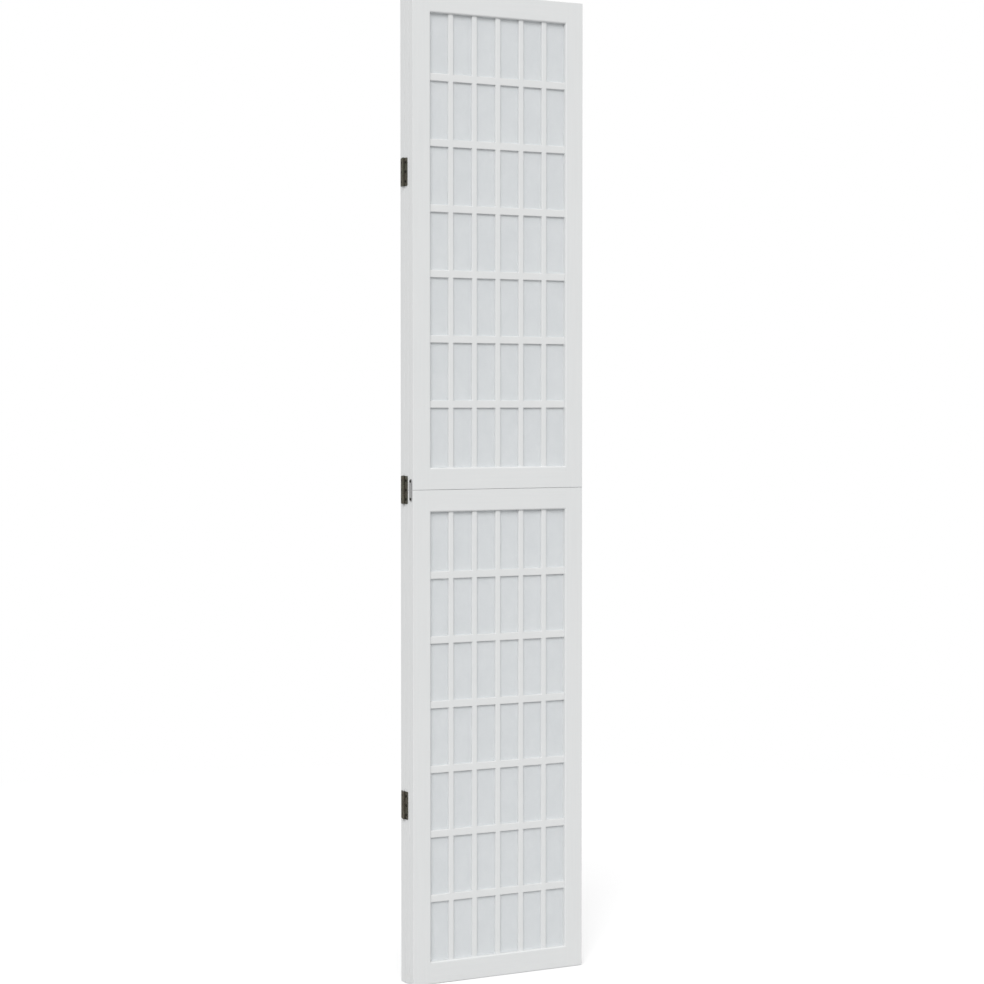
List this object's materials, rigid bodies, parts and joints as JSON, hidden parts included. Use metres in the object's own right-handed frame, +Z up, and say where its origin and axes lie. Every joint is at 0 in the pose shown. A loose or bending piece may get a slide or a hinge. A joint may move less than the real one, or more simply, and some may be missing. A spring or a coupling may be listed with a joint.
{
  "type": "folding screen",
  "caption": "Folding room divider of hinged wooden leaves, each two stacked lattice frames backed with white paper; it folds flat and opens in a zigzag.",
  "frame": {"origin": "on the floor, under the middle of the folded stack of leaves", "axes": "+Z up along the leaves' height; +X across their width, to the right as seen from the front leaf's lattice side; +Y from the front leaf to the rear leaf"},
  "size_m": [0.3604, 0.0496, 1.78],
  "materials": {
    "white_paint": "satin white paint on softwood",
    "paper": "white fibrous paper, matte and faintly translucent",
    "dark_bronze": "dark antique bronze",
    "zinc": "dull zinc plate"
  },
  "bodies": {
    "middle_leaf": {"middle_lower_left_stile": "white_paint", "middle_lower_right_stile": "white_paint", "middle_lower_bottom_rail": "white_paint", "middle_lower_top_rail": "white_paint", "middle_lower_lattice": "white_paint", "middle_lower_paper": "paper", "middle_upper_left_stile": "white_paint", "middle_upper_right_stile": "white_paint", "middle_upper_bottom_rail": "white_paint", "middle_upper_top_rail": "white_paint", "middle_upper_lattice": "white_paint", "middle_upper_paper": "paper", "front_fold_bottom_hinge_inner_plate": "dark_bronze", "front_fold_bottom_hinge_pin": "dark_bronze", "front_fold_centre_hinge_inner_plate": "dark_bronze", "front_fold_centre_hinge_pin": "dark_bronze", "front_fold_top_hinge_inner_plate": "dark_bronze", "front_fold_top_hinge_pin": "dark_bronze", "rear_fold_bottom_hinge_inner_plate": "dark_bronze", "rear_fold_bottom_hinge_pin": "dark_bronze", "rear_fold_centre_hinge_inner_plate": "dark_bronze", "rear_fold_centre_hinge_pin": "dark_bronze", "rear_fold_top_hinge_inner_plate": "dark_bronze", "rear_fold_top_hinge_pin": "dark_bronze"},
    "front_leaf": {"front_lower_left_stile": "white_paint", "front_lower_right_stile": "white_paint", "front_lower_bottom_rail": "white_paint", "front_lower_top_rail": "white_paint", "front_lower_lattice": "white_paint", "front_lower_paper": "paper", "front_upper_left_stile": "white_paint", "front_upper_right_stile": "white_paint", "front_upper_bottom_rail": "white_paint", "front_upper_top_rail": "white_paint", "front_upper_lattice": "white_paint", "front_upper_paper": "paper", "front_fold_bottom_hinge_outer_plate": "dark_bronze", "front_fold_centre_hinge_outer_plate": "dark_bronze", "front_fold_top_hinge_outer_plate": "dark_bronze", "front_mending_plate": "zinc"},
    "rear_leaf": {"rear_lower_left_stile": "white_paint", "rear_lower_right_stile": "white_paint", "rear_lower_bottom_rail": "white_paint", "rear_lower_top_rail": "white_paint", "rear_lower_lattice": "white_paint", "rear_lower_paper": "paper", "rear_upper_left_stile": "white_paint", "rear_upper_right_stile": "white_paint", "rear_upper_bottom_rail": "white_paint", "rear_upper_top_rail": "white_paint", "rear_upper_lattice": "white_paint", "rear_upper_paper": "paper", "rear_fold_bottom_hinge_outer_plate": "dark_bronze", "rear_fold_centre_hinge_outer_plate": "dark_bronze", "rear_fold_top_hinge_outer_plate": "dark_bronze", "rear_mending_plate": "zinc"}
  },
  "joints": [
    {"name": "front_fold", "type": "hinge", "parent": "middle_leaf", "child": "front_leaf", "pos_m": [0.1777, -0.0084, 0.89], "axis": [0, 0, 1], "range_deg": [0, 180]},
    {"name": "rear_fold", "type": "hinge", "parent": "middle_leaf", "child": "rear_leaf", "pos_m": [-0.1777, 0.0084, 0.89], "axis": [0, 0, 1], "range_deg": [0, 180]}
  ]
}
